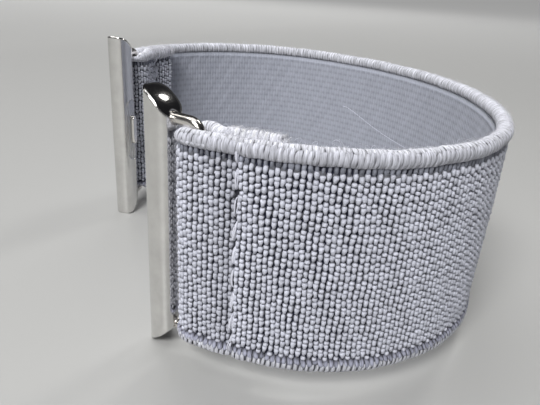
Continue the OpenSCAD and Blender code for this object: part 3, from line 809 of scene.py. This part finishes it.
def seam_stitches(name, seams, replaced):
    """Sewn stitches in the grooves of both plies, the flap's first: each a few loose strands from one hole to
    the next."""
    paths, radii, colours = [], [], []
    steps = np.linspace(-1, 1, 13)
    # One needle hole lies at HOLE_Z
    below_hole = np.floor((HOLE_Z - STITCH_PITCH / 2 - STITCH_LOW) / STITCH_PITCH)
    lowest = HOLE_Z - STITCH_PITCH / 2 - STITCH_PITCH * below_hole
    for number, at in enumerate(seams):
        on_outer = number == 1
        for middle in np.arange(lowest, STITCH_HIGH, STITCH_PITCH):
            strands = RNG.randint(3, 5)
            fan = (FAN + FAN_SPREAD * RNG.rand()) * (1 + FAN_GROWTH * smooth((FAN_FROM - middle) / FAN_OVER))
            lean = 0.05 * RNG.randn()
            for strand in range(strands):
                side = strand - (strands - 1) / 2 + 0.3 * RNG.randn()
                half = STITCH_LENGTH / 2 * (0.90 + 0.12 * RNG.rand())
                z = middle + steps * half
                s = at + side * fan * (1 - np.abs(steps) ** 2.5 * 0.75) + (0.06 + lean) * steps
                s = s + 0.03 * np.sin(steps * 2.5 + RNG.rand() * 6)
                u = WEB_HALF - STITCH_DEPTH - STITCH_DIVE * steps ** 4
                u = u + 0.04 * RNG.randn() - 0.5 * abs(side) * fan
                z = np.clip(z, STITCH_LOW - 0.25, STITCH_HIGH + 0.2)
                if on_outer:
                    # The lowest stitch comes up over the lower cord
                    u = u + np.where(z < WEAVE_LOW + 0.3, 0.28, 0.0) * (1 - steps ** 4)
                    at_hole = HOLE_Z + HOLE_HALF * np.sign(middle - HOLE_Z)
                    z = np.where(np.abs(z - HOLE_Z) < HOLE_HALF, at_hole, z)
                paths.append(place(s, u, z))
                radii.append((STRAND_R + STRAND_R_SPREAD * RNG.rand()) * (1 - 0.5 * steps ** 4) * MM)
                colours.append(PALE * (0.98 + 0.22 * RNG.rand()) * np.array([1.02, 1.01, 1.0]))
    threads = tubes(np.array(paths), np.array(radii), 6, np.clip(colours, 0, 0.95))
    strap_piece(name, "sewing_thread", thread_yarn, [threads], replaced)


seam_stitches("stitches_a", SEAMS[:2], "seam_stitching_a")
seam_stitches("stitches_b", [SEAMS[3], SEAMS[2]], "seam_stitching_b")


# Stray fibres, curls and one long hair

# Curled fibres on the upper cord: distance along the route, and size
CURLS = [(2.6, 0.30), (3.9, 0.24), (6.0, 0.22), (16.5, 0.20), (22.8, 0.30), (24.3, 0.22), (26.3, 0.36),
         (29.4, 0.18), (38.6, 0.24), (57.0, 0.22), (74.5, 0.26), (96.0, 0.24), (121.0, 0.30), (133.5, 0.24),
         (155.2, 0.26)]
CURL_R, HAIR_R = 0.011, 0.013
# The one long hair that stands across the loop: points from the cord to its free end, in the source's frame
HAIR = np.array([[16.89, -31.9, 23.9], [16.62, -29.7, 24.1], [16.36, -27.2, 24.45], [16.25, -24.7, 24.85],
                 [16.2, -22.9, 25.1], [16.05, -22.2, 25.2], [15.75, -22.1, 25.25]])
# How much shorter the fibres are where an arm passes
SHORTER_AT_ARM = 0.75


def cord_fibres(s, angle, side, reach, thick, curl):
    """Fine fibres that stand out of an edge cord. angle is measured from the front towards the edge."""
    count = len(s)
    steps = np.linspace(0, 1, 7)
    reach = (reach * (1 - SHORTER_AT_ARM * np.interp(s, route_s, flat_in_swing)))[:, None]
    swing = RNG.uniform(-1, 1, (count, 4)) * curl
    out = CORD_R * 0.93 + reach * (steps - 0.15)
    bent = np.radians(angle)[:, None] + swing[:, 0:1] * steps ** 1.5
    wave = 0.45 * swing[:, 2:3] * np.sin(steps * 5 + swing[:, 3:4] * 3)
    ss = s[:, None] + reach * (swing[:, 1:2] * steps + wave)
    z = cord_z(side, ss, out * np.sin(bent), flat_in_swing)
    radii = thick[:, None] * (1 - 0.5 * steps) * MM
    shade = RNG.uniform(0.9, 1.15, (count, 1)) * PALE * np.array([1.06, 1.04, 0.98])
    return tubes(place(ss, CORD_LIFT + out * np.cos(bent), z), radii, 3, np.clip(shade, 0, 0.95))


def curls_and_hair():
    turn = np.linspace(-0.4, 6.4, 12)
    at, size = np.array(CURLS).T[:, :, None]
    lean = 0.5 * np.sin(at * 5)
    s = at + size * (np.sin(turn) + lean * (1 - np.cos(turn)))
    z = BAND_WIDTH - 0.08 + size * (1 - np.cos(turn))
    u = CORD_LIFT - 0.35 + 0.05 * turn
    curls = tubes(place(s, u, z), np.full(s.shape, CURL_R * MM), 4, np.tile(PALE * 1.12, (len(s), 1)))
    steps = np.linspace(0, len(HAIR) - 1, 25)
    line = np.stack([np.interp(steps, np.arange(len(HAIR)), values) for values in (HAIR - ORIGIN).T], -1)
    line[1:-1] = (line[:-2] + line[1:-1] + line[2:]) / 3
    return [curls, tubes(line[None] * MM, np.full((1, len(line)), HAIR_R * MM), 4, PALE[None] * 1.15)]


def stray_fibres(name, begin, end, flap, parts):
    """Stray fibres on the route from begin to end, and more on its flap. parts holds any others."""
    # Count, stretch of the route, mean and spread of the angle, side, least and most length and radius, curl
    groups = [
        (1700, (begin, end), (86, 26), 1, (0.12, 0.36), (0.007, 0.014), 1.2),
        (65, (begin, end), (85, 40), 1, (0.6, 1.3), (0.007, 0.011), 1.9),
        (250, (begin, end), (80, 45), -1, (0.12, 0.4), (0.008, 0.014), 1.0),
        (700, flap, (85, 50), 1, (0.35, 0.62), (0.010, 0.020), 1.8),
        (160, flap, (90, 45), -1, (0.2, 0.6), (0.010, 0.018), 1.4),
    ]
    for count, stretch_of, angles, side, reach, thick, curl in groups:
        s = RNG.uniform(*stretch_of, count)
        parts.append(cord_fibres(s, RNG.normal(*angles, count), side, RNG.uniform(*reach, count),
                                 RNG.uniform(*thick, count), curl))
    strap_piece(name, "edge_cord", fuzz_yarn, parts)


stray_fibres("stray_fibres_a", 0, LENGTH / 2, (0, BAR_START - 0.5), curls_and_hair())
stray_fibres("stray_fibres_b", LENGTH / 2, LENGTH, (LENGTH - BAR_START + 0.5, LENGTH), [])


# Yarn tails and fibres along the two cut ends of the strap

# Count, length and radius from least to most, sides, and whether they are on the upper cord only
FRAYS = [
    (150, (0.15, 0.45), (0.05, 0.09), 5, False),
    (260, (0.3, 1.0), (0.010, 0.018), 3, False),
    (110, (0.15, 0.50), (0.07, 0.12), 5, True),
    (90, (0.3, 0.9), (0.010, 0.018), 3, True),
]


def frays(end, way, count, reach, thick, sides, on_cord):
    """Frayed yarn at a cut end. way is the direction along the route in which it stands out."""
    z = RNG.uniform(0.25, BAND_WIDTH - 0.25, count)[:, None]
    u = RNG.uniform(-0.5, 0.7, count)[:, None]
    if on_cord:
        away, turn = 0.78 * CORD_R * np.sqrt(RNG.rand(count, 1)), RNG.uniform(0, 2 * np.pi, (count, 1))
        z, u = BAND_WIDTH - CORD_R + away * np.sin(turn), CORD_LIFT + away * np.cos(turn)
    length = RNG.uniform(*reach, count)[:, None]
    steps = np.linspace(0, 1, 6)
    wander = RNG.normal(0, 1, (count, 3))
    s = end + way * length * (steps - 0.35)
    u = u + length * 0.35 * wander[:, 0:1] * steps ** 2
    z = z + length * (0.35 * wander[:, 1:2] * steps ** 2 + 0.1 * np.sin(steps * 5 + wander[:, 2:3]))
    radii = RNG.uniform(*thick, count)[:, None] * (1 - 0.55 * steps) * MM
    shade = RNG.uniform(0.82, 1.12, (count, 1)) * PALE * np.array([1.04, 1.03, 0.98])
    # Past the cut end they run straight on, in the route's direction there
    probe = np.full_like(s, np.clip(end, 0.02, LENGTH - 0.01))
    ahead = (place(probe, u, z) - place(probe - 0.01, u, z)) / 0.01
    paths = place(np.clip(s, 0.001, LENGTH - 0.001), u, z) + ahead * (s - np.clip(s, 0, LENGTH))[..., None]
    return tubes(paths, radii, sides, np.clip(shade, 0, 0.95))


tails = [frays(end, way, *group) for end, way in ((0.0, -1), (LENGTH, 1)) for group in FRAYS]
strap_piece("frayed_ends", "web_weave", fuzz_yarn, tails)


# Camera at the photograph's angle

CAMERA_AT = np.array([-10.57, -68.39, 37.34]) - ORIGIN
# Its right, up and backward directions
CAMERA_AXES = Matrix([[0.9328, -0.3548, 0.0625], [0.0905, 0.3988, 0.9125], [-0.3487, -0.8456, 0.4042]])
PHOTO_WIDTH, FOCAL_PIXELS, SENSOR = 540.0, 523.4, 36.0
camera_data = bpy.data.cameras.new("camera")
camera_data.sensor_width = SENSOR
camera_data.lens = FOCAL_PIXELS * SENSOR / PHOTO_WIDTH
camera_data.clip_start, camera_data.clip_end = 0.002, 20.0
camera = new_object("camera", camera_data)
camera.matrix_world = Matrix.Translation(Vector(CAMERA_AT * MM)) @ CAMERA_AXES.transposed().to_4x4()
scene.camera = camera


# Floor

FLOOR_HALF = 3.0
floor_material, tree, shader = new_material("pale_floor")
floor_noise = node(tree, "TexNoise", Scale=6.0, Detail=3.0)
floor_tone = tone_ramp(tree, floor_noise.outputs["Fac"], (0.0, (0.41, 0.41, 0.40)), (1.0, (0.45, 0.45, 0.44)))
# Far off, where the lamps don't reach, the floor glows with painted light, like a lit studio sweep
floor_place = node(tree, "TexCoord")
floor_far = node(tree, "VectorMath", floor_place.outputs["Object"], operation="LENGTH")
floor_glow = node(tree, "MapRange", floor_far.outputs["Value"], interpolation_type="SMOOTHSTEP",
                  From_Min=0.12, From_Max=0.75, To_Min=0.0, To_Max=0.31)
tune(tree, shader, Base_Color=floor_tone, Roughness=0.45, Emission_Strength=floor_glow.outputs["Result"],
     Emission_Color=(1, 1, 0.99, 1))
floor_corners = [[x * FLOOR_HALF, y * FLOOR_HALF, 0] for x, y in ((-1, -1), (1, -1), (1, 1), (-1, 1))]
mesh_object("floor", floor_corners, np.array([[0, 1, 2, 3]]), floor_material, rounded=False)


# Lights

WARM, COOL = (1.0, 0.99, 0.97), (0.98, 0.98, 1.0)


def area_light(name, at, towards, size, power, colour=(1, 1, 1)):
    data = bpy.data.lights.new(name, "AREA")
    data.shape, data.size, data.size_y = "RECTANGLE", size[0], size[1]
    data.energy, data.color = power, colour
    light = new_object(name, data)
    light.location = at
    light.rotation_euler = (Vector(towards) - Vector(at)).to_track_quat("-Z", "Y").to_euler()
    return light


area_light("key", (-0.31, -0.30, 0.48), (0, 0, 0.012), (0.24, 0.24), 3.65)
area_light("top", (-0.05, 0.05, 0.60), (0, 0, 0.0), (0.40, 0.30), 0.5, COOL)
# Lights the cloth from behind, without a reflection in the metal
fill = area_light("fill", (0.10, 0.50, 0.42), (0, 0.05, 0), (0.5, 0.5), 2.2)
fill.visible_glossy = False
# From the upper left behind, for the long highlights on the bail's arms
area_light("strip", (-0.27, 0.12, 0.45), (-0.04, -0.02, 0.03), (0.17, 0.17), 0.4, WARM)
# From the upper right behind, for the round highlight on the rail's end
spot = area_light("back", (0.31, 0.17, 0.43), (-0.02, -0.02, 0.028), (0.10, 0.10), 0.5, WARM)
spot.data.shape = "DISK"


# Surroundings: bright at the horizon, dark overhead

world = bpy.data.worlds.new("studio")
scene.world = world
world.use_nodes = True
sky = world.node_tree
direction = node(sky, "TexCoord")
split = node(sky, "SeparateXYZ", direction.outputs["Generated"])
sky_tone = tone_ramp(sky, split.outputs["Z"], (0.0, (0.92, 0.92, 0.91)), (0.42, (0.035, 0.035, 0.04)),
                     (0.07, (0.44, 0.44, 0.45)))
tune(sky, sky.nodes["Background"], Color=sky_tone, Strength=0.37)
scene.view_settings.view_transform = "Standard"
scene.view_settings.look = "None"


# Metal pieces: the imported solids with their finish

def finish_node(name, material):
    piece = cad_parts[name]
    if not piece.material_slots:
        piece.data.materials.append(material)
    for entry in piece.material_slots:
        entry.link = "OBJECT"
        entry.material = material


def coil_springs(end):
    """The catch's springs: the imported coils, copied in spring steel and hung on their adapter."""
    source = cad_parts["lock_springs_" + end]
    mesh = source.data.copy()
    mesh.transform(source.matrix_world)
    mesh.materials.clear()
    mesh.materials.append(spring_steel)
    mesh.polygons.foreach_set("use_smooth", np.ones(len(mesh.polygons), bool))
    piece = new_object("coil_springs_" + end, mesh)
    dress(piece, "adapter_" + end, "spring_steel", "lock_springs_" + end)
    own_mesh(piece)


for end, way in (("a", 1), ("b", -1)):
    finish_node("wire_bail_" + end, wire_chrome)
    finish_node("lug_rail_" + end, rail_chrome)
    finish_node("lock_catch_" + end, chrome)
    finish_node("lock_plate_" + end, satin)
    coil_springs(end)
